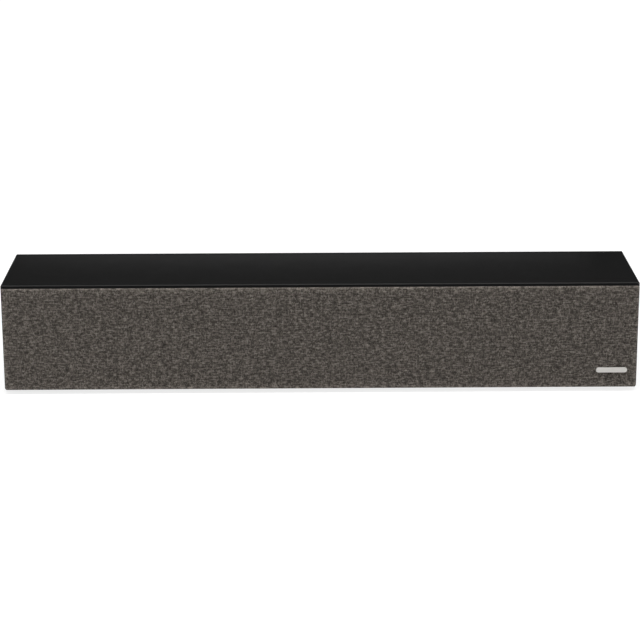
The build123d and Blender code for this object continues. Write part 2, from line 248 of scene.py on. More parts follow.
# %% The grain group
def new_group(name, inputs, outputs):
    """A node group whose sockets are all numbers, with its input and output nodes."""
    group = bpy.data.node_groups.new(name, "ShaderNodeTree")
    for way, labels in (("INPUT", inputs), ("OUTPUT", outputs)):
        for label in labels:
            group.interface.new_socket(label, in_out=way, socket_type="NodeSocketFloat")
    return group, node(group, "NodeGroupInput"), node(group, "NodeGroupOutput")


def noise(tree, vector, scale, detail=2.0, roughness=0.5):
    inputs = {"Vector": vector, "Scale": scale, "Detail": detail, "Roughness": roughness}
    return node(tree, "ShaderNodeTexNoise", inputs).outputs[0]


dust_fineness = 1.7
pebble_share = 0.6
patches_per_metre = 38.0
grain, grain_in, grain_out = new_group("fine_grain", ["Grain size in mm"], ["Height", "Tone", "Patches"])
grain_place = place_on(grain)
per_metre = maths(grain, "DIVIDE", 1 / MM, grain_in.outputs[0])
pebble_cells = node(grain, "ShaderNodeTexVoronoi", {"Vector": grain_place, "Scale": per_metre})
pebbles = pebble_cells.outputs["Distance"]
dust = noise(grain, grain_place, maths(grain, "MULTIPLY", per_metre, dust_fineness), detail=3.0)
dust_height = maths(grain, "MULTIPLY", dust, 1 - pebble_share)
grain_height = maths(grain, "MULTIPLY_ADD", pebbles, pebble_share, dust_height)
grain.links.new(grain_height, grain_out.inputs["Height"])
grain.links.new(dust, grain_out.inputs["Tone"])
patches = noise(grain, grain_place, patches_per_metre, detail=4.0, roughness=0.6)
grain.links.new(patches, grain_out.inputs["Patches"])
print("group:", grain.name)

# %% [markdown]
# A finish is then one line: its darkest and lightest colour, its range of roughness, and the size and
# depth of its grain. Colours are written as on a screen, because that is how one reads them from a
# picture.

# %% A finish from colour, gloss and grain
def shade(red, green, blue):
    """A colour written as on a screen, 0 to 255, as the linear values that the shader takes."""
    def linear(value):
        value /= 255
        return value / 12.92 if value < 0.04045 else ((value + 0.055) / 1.055) ** 2.4

    return (linear(red), linear(green), linear(blue), 1)


def bare_material(name):
    material = bpy.data.materials.new(name)
    material.use_nodes = True
    return material, material.node_tree, material.node_tree.nodes["Principled BSDF"]


def paint(tree, shader, amount, dark, light):
    mixed = node(tree, "ShaderNodeMix", {0: amount, 6: shade(*dark), 7: shade(*light)}, data_type="RGBA")
    tree.links.new(mixed.outputs[2], shader.inputs["Base Color"])


def roughen(tree, shader, amount, gloss):
    tree.links.new(spread(tree, amount, *gloss), shader.inputs["Roughness"])


def bump(tree, shader, height, strength, distance_mm):
    inputs = {"Height": height, "Strength": strength, "Distance": distance_mm * MM}
    tree.links.new(node(tree, "ShaderNodeBump", inputs).outputs[0], shader.inputs["Normal"])


tone_range = (-0.4, 1.4)
grain_rise = 0.25


def grained(name, dark, light, gloss, grain_mm, depth=0.25, metal=0.0, specular=0.5):
    """A surface with grain. gloss is the range of roughness, dark and light the range of colour."""
    material, tree, shader = bare_material(name)
    group = node(tree, "ShaderNodeGroup", node_tree=grain)
    group.inputs[0].default_value = grain_mm
    paint(tree, shader, spread(tree, group.outputs["Tone"], *tone_range), dark, light)
    roughen(tree, shader, group.outputs["Patches"], gloss)
    bump(tree, shader, group.outputs["Height"], depth, grain_mm * grain_rise)
    shader.inputs["Metallic"].default_value = metal
    shader.inputs["Specular IOR Level"].default_value = specular
    return material


print("finish helpers ready")

# %% [markdown]
# Each line below is one material of the speaker, from the film round the cabinet to the wadding inside it.
# Most are black, so what tells them apart is their gloss and grain: knobs and film are smoother than
# paint, and rubber feet are dullest.

# %% Grained finishes
vinyl = grained("vinyl_film", (11, 11, 11), (20, 20, 20), (0.44, 0.52), 0.6, 0.35, specular=0.16)
panel_paint = grained("panel_paint", (30, 30, 30), (42, 42, 41), (0.6, 0.75), 0.9, 0.35, specular=0.25)
baffle_paint = grained("baffle_paint", (21, 21, 21), (29, 29, 28), (0.62, 0.75), 0.8, 0.3, specular=0.2)
fibreboard = grained("fibreboard", (118, 92, 62), (160, 130, 94), (0.8, 0.95), 1.2, 0.4, specular=0.2)
rubber = grained("foot_rubber", (20, 20, 20), (31, 31, 31), (0.7, 0.85), 0.6, 0.3, specular=0.3)
frame_plastic = grained("frame_plastic", (7, 7, 7), (12, 12, 12), (0.55, 0.68), 0.35, 0.25, specular=0.12)
driver_plastic = grained("driver_plastic", (19, 19, 20), (28, 28, 28), (0.42, 0.55), 0.4, 0.25, specular=0.35)
steel_paint = grained("basket_paint", (24, 24, 25), (36, 36, 36), (0.4, 0.52), 0.7, 0.2, specular=0.4)
roll_rubber = grained("roll_rubber", (17, 17, 17), (25, 25, 25), (0.5, 0.62), 0.4, 0.12, specular=0.4)
ferrite = grained("ferrite", (42, 42, 45), (66, 66, 68), (0.55, 0.8), 0.7, 0.5, specular=0.4)
plated = grained("zinc_plate", (150, 152, 156), (192, 194, 196), (0.28, 0.46), 1.1, 0.08, metal=1.0)
nickel = grained("nickel_plate", (128, 126, 122), (164, 162, 157), (0.16, 0.28), 0.8, 0.05, metal=1.0)
gilt = grained("gilt_brass", (205, 160, 78), (232, 190, 108), (0.16, 0.28), 0.6, 0.05, metal=1.0)
red_plastic = grained("red_plastic", (132, 12, 14), (164, 20, 20), (0.24, 0.34), 0.5, 0.06)
black_plastic = grained("black_plastic", (14, 14, 15), (24, 24, 25), (0.26, 0.36), 0.5, 0.06)
mark_paint = grained("mark_paint", (168, 168, 166), (196, 196, 194), (0.5, 0.65), 0.5, 0.1, specular=0.3)
screw_black = grained("blackened_screw", (22, 22, 23), (44, 44, 46), (0.32, 0.5), 0.4, 0.1, metal=0.6)
copper = grained("copper_winding", (150, 78, 44), (198, 116, 72), (0.3, 0.45), 0.35, 0.5, metal=1.0)
board_green = grained("circuit_board", (20, 66, 38), (34, 92, 54), (0.35, 0.5), 1.5, 0.1)
capacitor = grained("capacitor_film", (148, 104, 30), (186, 140, 52), (0.3, 0.45), 1.0, 0.08)
wadding = grained("wadding", (182, 182, 178), (228, 228, 224), (0.9, 1.0), 2.2, 1.0, specular=0.1)
print("grained finishes, from", vinyl.name, "to", wadding.name)

# %% [markdown]
# ## The weave
# Grille cloth, the drivers' spiders and the tweeter's silk are all plain weaves: each yarn passes over
# one and under the next of those that cross it. An image could show that, but a group of nodes is sharp
# at any distance. Two counts, across and up, say which yarn a point is on, and a chessboard says whether
# weft or warp lies on top. Each yarn has its own noise along its length, drawn out as spun fibres are,
# and a round crown for the bump.

# %% The weave group
weft_stretch = 0.095
warp_stretch = 0.22
yarn_likeness = 0.35
dip_depth = 0.4
weave, weave_in, weave_out = new_group("plain_weave", ["Yarn in mm"], ["Melange", "Height"])
weave_axes = node(weave, "ShaderNodeSeparateXYZ", {0: place_on(weave)}).outputs
yarns_per_metre = maths(weave, "DIVIDE", 1 / MM, weave_in.outputs[0])
across = maths(weave, "MULTIPLY", weave_axes["X"], yarns_per_metre)
up = maths(weave, "MULTIPLY", weave_axes["Z"], yarns_per_metre)


def yarn(along, beside, stretch, layer):
    """Number, melange and crown of the yarns that run one way. layer keeps the two ways' noise apart."""
    number = maths(weave, "FLOOR", beside)
    length = maths(weave, "MULTIPLY", along, stretch)
    row = maths(weave, "MULTIPLY", number, yarn_likeness)
    fibre = node(weave, "ShaderNodeCombineXYZ", {0: length, 1: row, 2: layer}).outputs[0]
    off_centre = maths(weave, "SUBTRACT", maths(weave, "FRACT", beside), 0.5)
    crown = maths(weave, "MULTIPLY_ADD", maths(weave, "MULTIPLY", off_centre, off_centre), -4.0, 1.0)
    return number, noise(weave, fibre, 1.0, detail=2.0, roughness=0.6), crown


weft_number, weft_tone, weft_crown = yarn(across, up, weft_stretch, 0.0)
warp_number, warp_tone, warp_crown = yarn(up, across, warp_stretch, 40.0)
warp_on_top = maths(weave, "FLOORED_MODULO", maths(weave, "ADD", weft_number, warp_number), 2.0)


def on_top(weft, warp):
    return maths(weave, "MULTIPLY_ADD", maths(weave, "SUBTRACT", warp, weft), warp_on_top, weft)


weave.links.new(on_top(weft_tone, warp_tone), weave_out.inputs["Melange"])
dip = maths(weave, "MULTIPLY_ADD", on_top(warp_crown, weft_crown), dip_depth, 1 - dip_depth)
weave.links.new(maths(weave, "MULTIPLY", on_top(weft_crown, warp_crown), dip), weave_out.inputs["Height"])
print("group:", weave.name)

# %% [markdown]
# ## The heathered cloth
# The grille cloth's yarns are spun from two greys, so that lighter and darker flecks lie at random. A
# plain noise would give flecks, but no yarns. The weave group gives them yarn by yarn, and a broad noise
# adds the slow changes that a length of cloth has. The gaps between the yarns get painted shade: darker
# colour where the yarns shade each other. A colour ramp turns the sum into warm greys. The yarns' crowns
# lift the surface in the bump, and a little sheen stands for loose fibres.

# %% Flecks of the cloth
def woven(tree, yarn_mm):
    group = node(tree, "ShaderNodeGroup", node_tree=weave)
    group.inputs[0].default_value = yarn_mm
    return group.outputs["Melange"], group.outputs["Height"]


cloth_yarn_mm = 0.5
slubs_per_metre = 260
slow_change = 0.28
mean_crown = 0.6
painted_gap_shade = 0.10
cloth, cloth_tree, cloth_shader = bare_material("heather_cloth")
melange, crowns = woven(cloth_tree, cloth_yarn_mm)
cloth_place = place_on(cloth_tree)
slubs = maths(cloth_tree, "SUBTRACT", noise(cloth_tree, cloth_place, slubs_per_metre, detail=4.0), 0.5)
heather_and_painted_light = maths(cloth_tree, "MULTIPLY_ADD", slubs, slow_change, melange)
# Painted shade: the colour is darker in the gaps between the yarns, where the yarns shade each other.
gaps = maths(cloth_tree, "SUBTRACT", crowns, mean_crown)
heather_and_painted_light = maths(cloth_tree, "MULTIPLY_ADD", gaps, painted_gap_shade, heather_and_painted_light)
print("cloth: yarn", cloth_yarn_mm, "mm")

# %% [markdown]
# Along its border the cloth is drawn over the frame's edge. That stretches the yarns and makes them a
# little lighter. The curved edge also catches more light, and that is painted in too, so the lighter
# border is partly painted highlight. How far a point lies past the border's start, sideways or up and
# down, is added to the flecks.

# %% Border and colours of the cloth
border_reach = 6.0 * MM
stretch_and_highlight_tone = 0.055
cloth_low, cloth_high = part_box("grille_cloth")
cloth_middle = (cloth_low + cloth_high) / 2
border_start = cloth_high - cloth_middle - Vector((1, 1, 1)) * border_reach
aside = vectors(cloth_tree, "ABSOLUTE", vectors(cloth_tree, "SUBTRACT", cloth_place, cloth_middle)[0])[0]
past = vectors(cloth_tree, "SUBTRACT", aside, border_start)[0]
past_axes = node(cloth_tree, "ShaderNodeSeparateXYZ", {0: past}).outputs
farthest = maths(cloth_tree, "MAXIMUM", past_axes["X"], past_axes["Z"])
# The border is lighter, partly for the stretched yarns and partly as painted highlight for the light that the
# curved edge catches.
border_stretch_and_painted_highlight = spread(cloth_tree, farthest, 0.0, stretch_and_highlight_tone, 0.0, border_reach)
heather_and_painted_light = maths(cloth_tree, "ADD", heather_and_painted_light, border_stretch_and_painted_highlight)

ramp = node(cloth_tree, "ShaderNodeValToRGB", {0: heather_and_painted_light})
dark_yarn, light_yarn = ramp.color_ramp.elements
dark_yarn.position = 0.27
dark_yarn.color = shade(18, 15, 13)
light_yarn.position = 0.73
light_yarn.color = shade(162, 153, 144)
ramp.color_ramp.elements.new(0.50).color = shade(78, 73, 68)
cloth_tree.links.new(ramp.outputs[0], cloth_shader.inputs["Base Color"])
cloth_shader.inputs["Roughness"].default_value = 0.95
cloth_shader.inputs["Specular IOR Level"].default_value = 0.1
cloth_shader.inputs["Sheen Weight"].default_value = 0.08
cloth_shader.inputs["Sheen Roughness"].default_value = 0.6
bump(cloth_tree, cloth_shader, crowns, 0.5, 0.15)
print("cloth border:", border_reach / MM, "mm")

# %% [markdown]
# ## Finishes with a pattern of their own
# The satin bar is brushed along its length, so its streaks are a noise drawn out along X. The woofers'
# cones are pressed from paper pulp: short fibres in a dark, slightly uneven skin, which is a noise drawn
# out far less. The spiders and the tweeter's dome are woven, so they take the same weave as the cloth,
# with other yarns and a lacquer that fills it more or less.

# %% Brushed metal, pulp and silk
def drawn_out(name, shrink, streaks, dark, light, gloss, depth, rise_mm, metal=0.0):
    """A noise drawn out along X. streaks are the noise's scale, detail and roughness."""
    material, tree, shader = bare_material(name)
    squeezed = node(tree, "ShaderNodeMapping", {"Vector": place_on(tree), "Scale": (shrink, 1, 1)})
    streak = noise(tree, squeezed.outputs[0], *streaks)
    paint(tree, shader, streak, dark, light)
    roughen(tree, shader, streak, gloss)
    bump(tree, shader, streak, depth, rise_mm)
    shader.inputs["Metallic"].default_value = metal
    return material


yarn_rise = 0.3


def lacquered_weave(name, yarn_mm, dark, light, gloss, depth, specular):
    material, tree, shader = bare_material(name)
    tone, height = woven(tree, yarn_mm)
    paint(tree, shader, tone, dark, light)
    roughen(tree, shader, height, gloss)
    bump(tree, shader, height, depth, yarn_mm * yarn_rise)
    shader.inputs["Specular IOR Level"].default_value = specular
    return material


long_streaks = (5000, 3.0)
short_fibres = (1600, 5.0, 0.7)
satin = drawn_out(
    "brushed_satin", 0.03, long_streaks, (188, 185, 181), (222, 219, 215), (0.34, 0.5), 0.15, 0.05, metal=0.7
)
pulp = drawn_out("paper_pulp", 0.4, short_fibres, (24, 24, 25), (54, 53, 52), (0.6, 0.9), 0.5, 0.25)
silk = lacquered_weave("coated_silk", 0.3, (18, 18, 20), (42, 42, 44), (0.42, 0.3), 0.2, 0.45)
spider_cloth = lacquered_weave("spider_cloth", 0.6, (140, 104, 56), (206, 176, 118), (0.9, 0.7), 0.8, 0.3)
print("patterned finishes:", satin.name, pulp.name, silk.name, spider_cloth.name)

# %% [markdown]
# ## Finishing the solids that stay
# Sleeve, panels, lattice frame, baskets, magnets, posts and crossover have their true shape already. They
# could be modelled again, but would look the same, so they keep their solids and only take a material.

# %% Materials for the carried-over solids
finish_of = {
    "cabinet_wrap": vinyl,
    "front_baffle": baffle_paint,
    "rear_panel": panel_paint,
    "dividers": fibreboard,
    "feet": rubber,
    "grille_frame": frame_plastic,
    "grille_magnets": nickel,
    "baffle_magnets": nickel,
    "woofer_baskets": steel_paint,
    "woofer_voice_coils": copper,
    "woofer_magnets": ferrite,
    "woofer_yokes": plated,
    "tweeter_motor": plated,
    "keyhole_plates": plated,
    "binding_posts": gilt,
    "post_nuts": plated,
    "positive_washer": gilt,
    "negative_washer": gilt,
    "crossover_board": board_green,
    "crossover_inductors": copper,
    "crossover_capacitors": capacitor,
}
for name, material in finish_of.items():
    solid = nodes[name]
    if not solid.material_slots:
        solid.data.materials.append(material)
    for material_slot in solid.material_slots:
        material_slot.material = material
print("solids that keep their shape:", len(finish_of))

# %% [markdown]
# ## Tools for modelling by hand
# Each new piece starts from a primitive and is shaped with the operators that one would use at the
# screen. At the screen one clicks on faces and edges. Here these helpers choose them, by their place or
# direction.

# %% Choosing what an operator acts on
def only(piece):
    """Leaves edit mode and selects this piece alone, or nothing."""
    if bpy.context.mode != "OBJECT":
        bpy.ops.object.mode_set(mode="OBJECT")
    bpy.ops.object.select_all(action="DESELECT")
    if piece:
        piece.select_set(True)
        bpy.context.view_layer.objects.active = piece


def edit(piece):
    only(piece)
    bpy.ops.object.mode_set(mode="EDIT")
    bpy.ops.mesh.select_mode(type="VERT")


def choose(piece, kind, test):
    """In edit mode, selects the faces, edges or vertices that pass the test."""
    bpy.ops.mesh.select_all(action="DESELECT")
    bpy.ops.mesh.select_mode(type=kind)
    mesh = bmesh.from_edit_mesh(piece.data)
    parts = {"FACE": mesh.faces, "EDGE": mesh.edges, "VERT": mesh.verts}[kind]
    for part in parts:
        part.select_set(test(part))
    mesh.select_flush_mode()
    bmesh.update_edit_mesh(piece.data)


def looks(direction):
    return lambda face: face.normal.dot(Vector(direction)) > 0.9


def runs(direction):
    def test(edge):
        line = edge.verts[1].co - edge.verts[0].co
        return abs(line.normalized().dot(Vector(direction))) > 0.99

    return test


def bevel_front_outline(piece, width, segments):
    """In edit mode, rounds the outline of the faces that look to the front."""
    choose(piece, "FACE", looks((0, -1, 0)))
    bpy.ops.mesh.region_to_loop()
    bpy.ops.mesh.bevel(offset=width, segments=segments, affect="EDGES")


print("choosing helpers ready")

# %% [markdown]
# A piece begins as a block in the box of its solid. It ends with smooth shading, which bevels need, and
# normals weighted by area, so that large flat faces still shade flat beside them.

# %% Starting and finishing a piece
def block(name, low, high):
    """A cube of the given corners, with its origin at the frame's origin."""
    only(None)
    bpy.ops.mesh.primitive_cube_add(size=1, location=(low + high) / 2)
    piece = bpy.context.object
    piece.name = name
    piece.scale = high - low
    bpy.ops.object.transform_apply(location=True, rotation=True, scale=True)
    return piece


def face_out(piece, direction):
    """In edit mode, makes the normals of an open sheet agree, its outermost face looking in the direction."""
    bpy.ops.mesh.select_mode(type="FACE")
    bpy.ops.mesh.select_all(action="SELECT")
    bpy.ops.mesh.normals_make_consistent(inside=False)
    mesh = bmesh.from_edit_mesh(piece.data)
    outermost = max(mesh.faces, key=lambda face: face.calc_center_median().dot(Vector(direction)))
    if outermost.normal.dot(Vector(direction)) < 0:
        bpy.ops.mesh.flip_normals()


def modify(piece, kind, **settings):
    only(piece)
    modifier = piece.modifiers.new(kind.lower(), kind)
    for key, value in settings.items():
        setattr(modifier, key, value)
    bpy.ops.object.modifier_apply(modifier=modifier.name)


def done(piece, material, body, slot, *stands_for, smooth=32):
    """Smooths a finished piece, gives it its material and lets it ride on its body."""
    only(piece)
    bpy.ops.object.shade_smooth_by_angle(angle=radians(smooth))
    modify(piece, "WEIGHTED_NORMAL", keep_sharp=True)
    piece.data.materials.clear()
    piece.data.materials.append(material)
    if stands_for:
        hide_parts(*stands_for)
    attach(piece, body)
    print(piece.name, "on", body, "with", len(piece.data.polygons), "faces")


print("piece helpers ready")

# %% [markdown]
# ## Grille cloth
# The cloth is drawn tight over the lattice and turned round its edge, where it ends in a step of the
# frame. It is flat apart from that turned edge. A simulation would only give the flat sheet back, so it
# is modelled directly: a block without its back, with the corners rounded, the front edge rolled over,
# and the thickness of the cloth.

# %% Grille cloth
cloth_thickness = 0.6 * MM
cloth_corner = 1.4 * MM
cloth_roll = 1.5 * MM
grille_cloth = block("cloth_cover", cloth_low, cloth_high)
edit(grille_cloth)
choose(grille_cloth, "FACE", looks((0, 1, 0)))
bpy.ops.mesh.delete(type="FACE")
choose(grille_cloth, "EDGE", runs((0, 1, 0)))
bpy.ops.mesh.bevel(offset=cloth_corner, segments=8, affect="EDGES")
bevel_front_outline(grille_cloth, cloth_roll, segments=5)
face_out(grille_cloth, (0, -1, 0))
modify(grille_cloth, "SOLIDIFY", thickness=cloth_thickness, offset=-1.0)
done(grille_cloth, cloth, "grille", "cloth", "grille_cloth")

# %% [markdown]
# ## Plain bar
# A small bar of brushed metal sits at the lower right of the cloth. A flattened cylinder could be drawn
# out for it, but a block fills the box of its solid by itself. A bevel of the four short edges makes its
# ends round, and a second one softens the front outline.

# %% Plain bar
bar_round = 0.49
bar_edge = 0.4 * MM
bar_low, bar_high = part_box("badge_bar")
bar = block("satin_bar_piece", bar_low, bar_high)
edit(bar)
choose(bar, "EDGE", runs((0, 1, 0)))
bpy.ops.mesh.bevel(offset=(bar_high.z - bar_low.z) * bar_round, segments=10, affect="EDGES")
bevel_front_outline(bar, bar_edge, segments=3)
done(bar, satin, "grille", "satin_bar", "badge_bar")

# %% [markdown]
# ## Mouldings at the back
# The terminal cup and the two port ducts are thin plastic mouldings with a flange, rounded corners and a
# smooth way in. Each could be cut from a block. Drawing one outline through a row of stations is closer
# to how the mould is shaped: a rounded rectangle is extruded, moved and resized from the flange inwards,
# and the sheet then gets its wall. A rounded edge takes three stations, because the middle of a round lies
# about 0.3 of its radius from both faces.

# %% A moulding from stations
def moulding(name, centre_x, centre_z, corner, stations, wall, floor_closed):
    """stations are (width, height, y). The first is the flange's front edge, the last the inner end."""
    only(None)
    width, height, y = stations[0]
    bpy.ops.mesh.primitive_plane_add(size=1, rotation=(-pi / 2, 0, 0))
    piece = bpy.context.object
    piece.name = name
    piece.scale = (width, height, 1)
    piece.location = (centre_x, y, centre_z)
    bpy.ops.object.transform_apply(location=True, rotation=True, scale=True)
    edit(piece)
    bpy.ops.mesh.select_all(action="SELECT")
    bpy.ops.mesh.bevel(offset=corner, segments=6, affect="VERTICES")
    bpy.ops.mesh.select_all(action="SELECT")
    bpy.ops.mesh.delete(type="ONLY_FACE")
    bpy.ops.mesh.select_all(action="SELECT")
    for next_width, next_height, next_y in stations[1:]:
        bpy.ops.mesh.extrude_edges_move()
        bpy.ops.transform.translate(value=(0, next_y - y, 0))
        sizes = (next_width / width, 1, next_height / height)
        bpy.ops.transform.resize(value=sizes, center_override=(centre_x, next_y, centre_z))
        width, height, y = next_width, next_height, next_y
    if floor_closed:
        bpy.ops.mesh.edge_face_add()
    face_out(piece, (0, 1, 0))
    modify(piece, "SOLIDIFY", thickness=wall, offset=-1.0, use_even_offset=True)
    print(name, "drawn through", len(stations), "stations")
    return piece


def station(size, larger, y):
    return (size[0] + larger, size[1] + larger, y)


round_middle = 0.3


def flange(size, front, rear, edge):
    """The stations of a flange's straight side and of its rounded rear edge."""
    middle = round_middle * edge
    return [station(size, 0, front), station(size, 0, rear - edge),
            station(size, -2 * middle, rear - middle), station(size, -2 * edge, rear)]


print("moulding helpers ready")

# %% [markdown]
# The tray's stations run from the flange over its rounded mouth down to the floor, which meets the sides
# in a small hollow. Each station of the hollow is some millimetres wider and higher than the floor.

# %% Terminal tray
panel_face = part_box("rear_panel")[1].y
rear_edge = 0.6 * MM
cup_wall = 2.4 * MM
cup_corner = 6 * MM
mouth_edge = 1 * MM
cup_mouth = (76 * MM, 48 * MM)
cup_floor_size = (70.6 * MM, 42.6 * MM)
cup_floor_thickness = 2.5 * MM
hollow_mm = ((2.0, 2.0), (0.6, 0.5), (-1.0, 0.0))
cup_low, cup_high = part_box("terminal_cup")
cup_floor = cup_low.y + cup_floor_thickness
cup_size = (cup_high.x - cup_low.x, cup_high.z - cup_low.z)
cup_middle = (cup_low + cup_high) / 2
cup_stations = flange(cup_size, panel_face, cup_high.y, rear_edge) + [
    station(cup_mouth, 2 * mouth_edge, cup_high.y),
    station(cup_mouth, 2 * round_middle * mouth_edge, cup_high.y - round_middle * mouth_edge),
    station(cup_mouth, 0, cup_high.y - mouth_edge),
]
for wider, higher in hollow_mm:
    cup_stations.append(station(cup_floor_size, wider * MM, cup_floor + higher * MM))
cup = moulding("terminal_tray", cup_middle.x, cup_middle.z, cup_corner, cup_stations, cup_wall, True)

# %% [markdown]
# The tray's floor has two holes for the posts, and four counterbores in the flange let the screws sit
# below its face. They could be drawn into the mesh, but a cylinder that a Boolean modifier takes away
# gives a round hole wherever it falls.

# %% Holes and counterbores
def drum(name, radius, depth, place, count=32):
    """A cylinder that lies along Y, centred on its place."""
    only(None)
    bpy.ops.mesh.primitive_cylinder_add(
        vertices=count, radius=radius, depth=depth, location=place, rotation=(pi / 2, 0, 0)
    )
    made = bpy.context.object
    made.name = name
    bpy.ops.object.transform_apply(location=True, rotation=True, scale=True)
    return made


def cut(piece, cutter):
    modify(piece, "BOOLEAN", operation="DIFFERENCE", object=cutter, solver="EXACT", use_self=True)
    bpy.data.objects.remove(cutter)


knob_low, knob_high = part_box("positive_knob")
knob_middle = (knob_low + knob_high) / 2
post_x, post_z = knob_middle.x, knob_middle.z
post_hole = 3.2 * MM
hole_depth = 10 * MM
counterbore = 3.1 * MM
counterbore_depth = 1.5 * MM
screw_margin = 4.6 * MM
corners = [(i, k) for i in (-1, 1) for k in (-1, 1)]
cup_reach = [size / 2 - screw_margin for size in cup_size]
cup_screw_spots = [
    (cup_middle.x + i * cup_reach[0], cup_middle.z + k * cup_reach[1]) for i, k in corners
]
for x in (-post_x, post_x):
    cut(cup, drum("hole", post_hole, hole_depth, (x, cup_floor, post_z)))
for x, z in cup_screw_spots:
    cut(cup, drum("counterbore", counterbore, 2 * counterbore_depth, (x, cup_high.y, z)))
done(cup, driver_plastic, "cabinet", "driver_plastic", "terminal_cup")

# %% [markdown]
# Above the posts are the usual plus and minus. They could be typed as text. Here each starts as a small
# square block, so that its width is known: two or four of its sides are extruded into arms, and a bevel
# softens the result, as moulded marks are.

# %% Polarity marks
mark_length = 5.0 * MM
mark_width = 1.1 * MM
mark_height = 0.4 * MM
mark_sunk = 0.1 * MM
mark_edge = 0.15 * MM
mark_above_post = 12.5 * MM
mark_z = post_z + mark_above_post
sideways = [(-1, 0, 0), (1, 0, 0)]
upright = [(0, 0, -1), (0, 0, 1)]


def mark(name, x, arms):
    base = Vector((x, cup_floor - mark_sunk, mark_z))
    half = Vector((mark_width, 0, mark_width)) / 2
    piece = block(name, base - half, base + half + Vector((0, mark_height, 0)))
    edit(piece)
    for arm in arms:
        near = lambda face: looks(arm)(face) and (face.calc_center_median() - base).xz.length < mark_width
        choose(piece, "FACE", near)
        reach = Vector(arm) * (mark_length - mark_width) / 2
        bpy.ops.mesh.extrude_region_move(TRANSFORM_OT_translate={"value": reach})
    modify(piece, "BEVEL", width=mark_edge, segments=2, limit_method="ANGLE")
    return piece


def joined(name, pieces):
    only(pieces[0])
    for piece in pieces:
        piece.select_set(True)
    bpy.ops.object.join()
    pieces[0].name = name
    return pieces[0]


marks = [mark("minus", -post_x, sideways), mark("plus", post_x, sideways + upright)]
done(joined("polarity_marks", marks), mark_paint, "cabinet", "driver_plastic")

# %% [markdown]
# The port's way in is a quarter curve, so that air doesn't hiss at the edge. Its stations come from a
# cosine. The two ducts are alike, so one is modelled and the other is its copy, with a mesh of its own.

# %% Port ducts
def twin(piece, move):
    """A copy with its own mesh, which the matrix carries to its place."""
    only(piece)
    bpy.ops.object.duplicate(linked=False)
    copy = bpy.context.object
    copy.data.transform(move)
    return copy


port_low, port_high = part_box("slot_ports")
duct = (52 * MM, 15 * MM)
flare_depth = 10 * MM
flare_steps = 6
port_wall = 1.9 * MM
port_corner = 4 * MM
flange_margin = 6 * MM
flange_height = port_high.z - port_low.z
flare = (flange_height - 2 * flange_margin - duct[1]) / 2
flange_width = duct[0] + 2 * flare + 2 * flange_margin
port_stations = flange((flange_width, flange_height), panel_face, port_high.y, rear_edge)
for step in range(flare_steps + 1):
    angle = pi / 2 * step / flare_steps
    opening = 2 * flare * (1 - sin(angle))
    port_stations.append(station(duct, opening, port_high.y - flare_depth * (1 - cos(angle))))
port_stations.append(station(duct, 0, port_low.y))
port_x = port_low.x + flange_width / 2
port_z = (port_low.z + port_high.z) / 2
port = moulding("port", port_x, port_z, port_corner, port_stations, port_wall, False)
across_ports = Matrix.Translation((port_high.x - port_low.x - flange_width, 0, 0))
ports = joined("port_ducts", [port, twin(port, across_ports)])
done(ports, driver_plastic, "cabinet", "driver_plastic", "slot_ports")

# %% [markdown]
# ## Knobs of the binding posts
# Each knob is a moulded cap with twelve flats, screwed on its post. A shallow groove in every flat gives
# the fingers a hold. The grooves could be cut one by one, but an inset makes all of them at once: a
# twelve-sided cylinder is opened at both ends, its flats are inset and pressed in, and a bevel softens
# what is left. The black knob is a copy of the red one.

# %% Knobs
knob_flats = 12
knob_radius = (knob_high.x - knob_low.x) / 2
knob_bore = 3.3 * MM
grip_margin = 0.75 * MM
grip_press = 0.93
knob_edge = 0.35 * MM


def is_flat(face):
    from_axis = (face.calc_center_median() - knob_middle).xz.length
    return abs(face.normal.y) < 0.1 and from_axis > knob_radius * 0.8


red_knob = drum("knob_red", knob_radius, knob_high.y - knob_low.y, knob_middle, knob_flats)
edit(red_knob)
choose(red_knob, "FACE", lambda face: abs(face.normal.y) > 0.9)
bpy.ops.mesh.inset(thickness=(knob_radius - knob_bore) * cos(pi / knob_flats), use_individual=True)
bpy.ops.mesh.bridge_edge_loops()
choose(red_knob, "FACE", is_flat)
bpy.ops.mesh.inset(thickness=grip_margin, use_individual=True)
bpy.ops.transform.resize(value=(grip_press, 1, grip_press), center_override=knob_middle)
modify(red_knob, "BEVEL", width=knob_edge, segments=2, limit_method="ANGLE", angle_limit=radians(24))
black_knob = twin(red_knob, Matrix.Translation(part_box("negative_knob")[0] - knob_low))
black_knob.name = "knob_black"
done(red_knob, red_plastic, "positive_cap", "red_plastic", "positive_knob")
done(black_knob, black_plastic, "negative_cap", "black_plastic", "negative_knob")

# %% [markdown]
# ## Round pieces of the drivers
# Cones, caps, domes and rolls are pieces of revolution. A Screw modifier could turn them. Here the half
# section is drawn by extruding one vertex from point to point, and Spin carries it round the axis, which
# also gives a sector where only a part of the round is needed. Doubles at the seam are merged before the
# wall is added. What belongs to both woofers is modelled for the left one and copied to the right.

# %% A piece from its half section
def turned(name, hub, section, steps=72, first=0.0, sweep=2 * pi):
    """section holds (radius, y) points. hub is (x, z). first and sweep are angles from +X towards +Z."""
    only(None)
    bpy.ops.mesh.primitive_plane_add(size=MM)
    piece = bpy.context.object
    piece.name = name
    edit(piece)
    bpy.ops.mesh.select_all(action="SELECT")
    bpy.ops.mesh.merge(type="CENTER")

    def point(radius, y):
        return Vector((hub[0] + radius * cos(first), y, hub[1] + radius * sin(first)))

    here = point(*section[0])
    bpy.ops.transform.translate(value=here)
    for radius, y in section[1:]:
        there = point(radius, y)
        bpy.ops.mesh.extrude_region_move(TRANSFORM_OT_translate={"value": there - here})
        here = there
    bpy.ops.mesh.select_all(action="SELECT")
    bpy.ops.mesh.spin(steps=steps, angle=-sweep, center=(hub[0], 0, hub[1]), axis=(0, 1, 0))
    bpy.ops.mesh.select_all(action="SELECT")
    bpy.ops.mesh.remove_doubles(threshold=0.01 * MM)
    bpy.ops.mesh.normals_make_consistent(inside=False)
    only(piece)
    return piece


